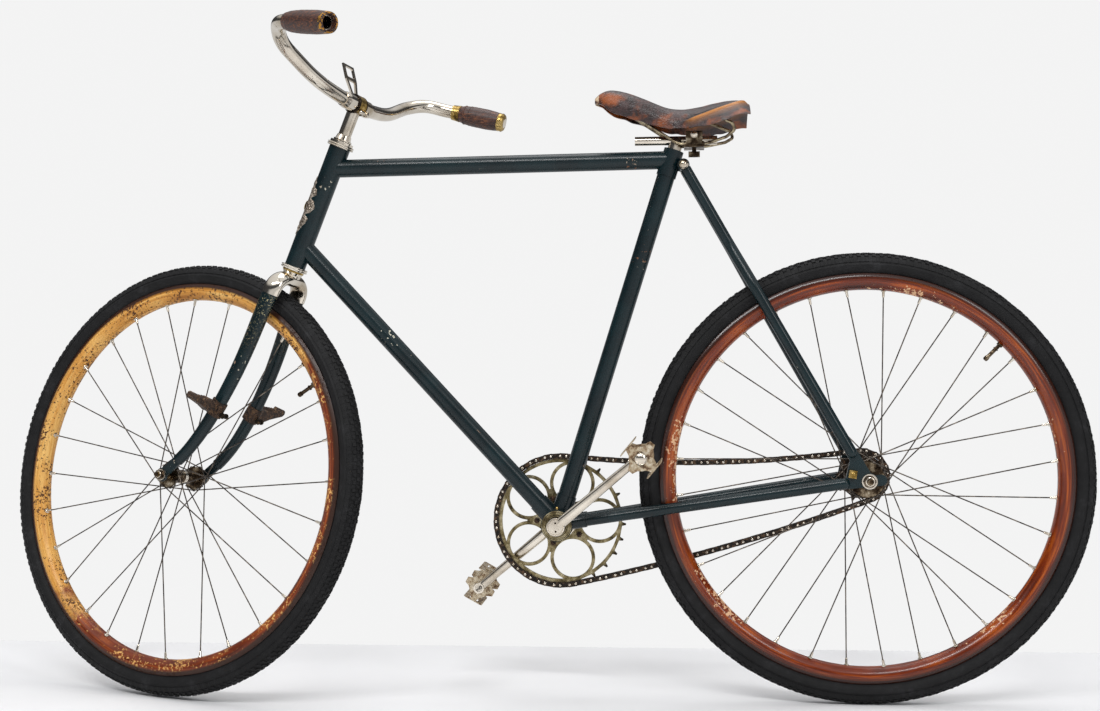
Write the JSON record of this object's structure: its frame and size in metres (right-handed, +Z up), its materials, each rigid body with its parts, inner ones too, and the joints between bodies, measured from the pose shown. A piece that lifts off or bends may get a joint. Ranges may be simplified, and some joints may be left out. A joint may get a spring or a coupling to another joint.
{
  "type": "safety bicycle",
  "caption": "Old fixed-wheel safety bicycle with wooden rims, block chain, rat-trap pedals and upswept bars, steered to its right, no stand.",
  "frame": {"origin": "on top of the saddle over its clip, in the middle plane of the frame", "axes": "+X towards the rear wheel, +Y towards the rider's right (chain side), +Z up; metres"},
  "size_m": [1.7972, 0.5237, 1.061],
  "materials": {
    "frame_enamel": "worn dark green enamel, chipped to brown",
    "nickel": "old nickel plate, warm and slightly dull",
    "brass": "tarnished brass",
    "gilt_ring": "tarnished yellow plate over steel",
    "steel": "dark oiled steel with brown rust",
    "rusty_iron": "rusty forged iron",
    "leather": "brown leather, cracked and worn",
    "grip_cork": "brown turned grips",
    "tyre_rubber": "dry black rubber",
    "rim_cream": "painted wood, cream worn to orange brown",
    "rim_red": "lacquered wood, red brown"
  },
  "bodies": {
    "frame": {"head_tube": "frame_enamel", "head_cups": "nickel", "head_badge": "nickel", "top_tube": "frame_enamel", "down_tube": "frame_enamel", "seat_tube": "frame_enamel", "seat_lug": "frame_enamel", "bottom_bracket_shell": "frame_enamel", "bottom_bracket_cups": "brass", "chain_stay_left": "frame_enamel", "chain_stay_right": "frame_enamel", "seat_stay_left": "frame_enamel", "seat_stay_right": "frame_enamel", "rear_fork_ends": "frame_enamel", "chain_adjusters": "brass", "seat_bolt": "nickel", "seat_post": "nickel", "saddle_clip": "nickel", "saddle_springs": "steel", "saddle_leather": "leather", "rear_axle": "steel", "rear_axle_nuts": "steel", "chain": "steel"},
    "steering": {"fork_crown": "nickel", "fork_blade_left": "frame_enamel", "fork_blade_right": "frame_enamel", "front_fork_ends": "frame_enamel", "steerer": "nickel", "head_locknut": "nickel", "stem": "nickel", "handlebar": "nickel", "bar_clamp": "brass", "lamp_bracket": "nickel", "grip_left": "grip_cork", "grip_right": "grip_cork", "grip_fittings": "brass", "foot_rests": "rusty_iron", "front_axle": "steel", "front_axle_nuts": "steel"},
    "front_wheel": {"front_hub": "nickel", "front_spokes": "steel", "front_rim": "rim_cream", "front_tyre": "tyre_rubber", "front_valve": "brass"},
    "rear_wheel": {"rear_hub": "nickel", "rear_spokes": "steel", "rear_rim": "rim_red", "rear_tyre": "tyre_rubber", "rear_valve": "brass", "sprocket": "steel"},
    "cranks": {"crank_axle": "nickel", "crank_left": "nickel", "crank_right": "nickel", "crank_spider": "nickel", "chainring": "gilt_ring", "pedal_spindles": "steel"},
    "pedal_left": {"pedal_barrel_left": "steel", "pedal_cage_left": "steel"},
    "pedal_right": {"pedal_barrel_right": "steel", "pedal_cage_right": "steel"}
  },
  "joints": [
    {"name": "steering", "type": "hinge", "parent": "frame", "child": "steering", "pos_m": [-0.67661, 0, -0.25002], "axis": [0.3665, 0, 0.9304], "range_deg": [-51.2, 98.8]},
    {"name": "front_wheel_spin", "type": "hinge", "parent": "steering", "child": "front_wheel", "pos_m": [-0.8757, 0.02603, -0.59442], "axis": [0.3755, 0.915, -0.1479], "continuous": true},
    {"name": "rear_wheel_spin", "type": "hinge", "parent": "frame", "child": "rear_wheel", "pos_m": [0.235, 0, -0.59241], "axis": [0, 1, 0], "continuous": true, "deforming": ["chain"]},
    {"name": "crank_spin", "type": "hinge", "parent": "frame", "child": "cranks", "pos_m": [-0.2497, 0, -0.66571], "axis": [0, 1, 0], "continuous": true, "deforming": ["chain"]},
    {"name": "pedal_left_spin", "type": "hinge", "parent": "cranks", "child": "pedal_left", "pos_m": [-0.11295, 0, -0.55177], "axis": [0, 1, 0], "continuous": true},
    {"name": "pedal_right_spin", "type": "hinge", "parent": "cranks", "child": "pedal_right", "pos_m": [-0.38646, 0, -0.77965], "axis": [0, 1, 0], "continuous": true}
  ],
  "couplings": [
    {"joint": "crank_spin", "follows": "rear_wheel_spin", "ratio": 0.38461}
  ]
}
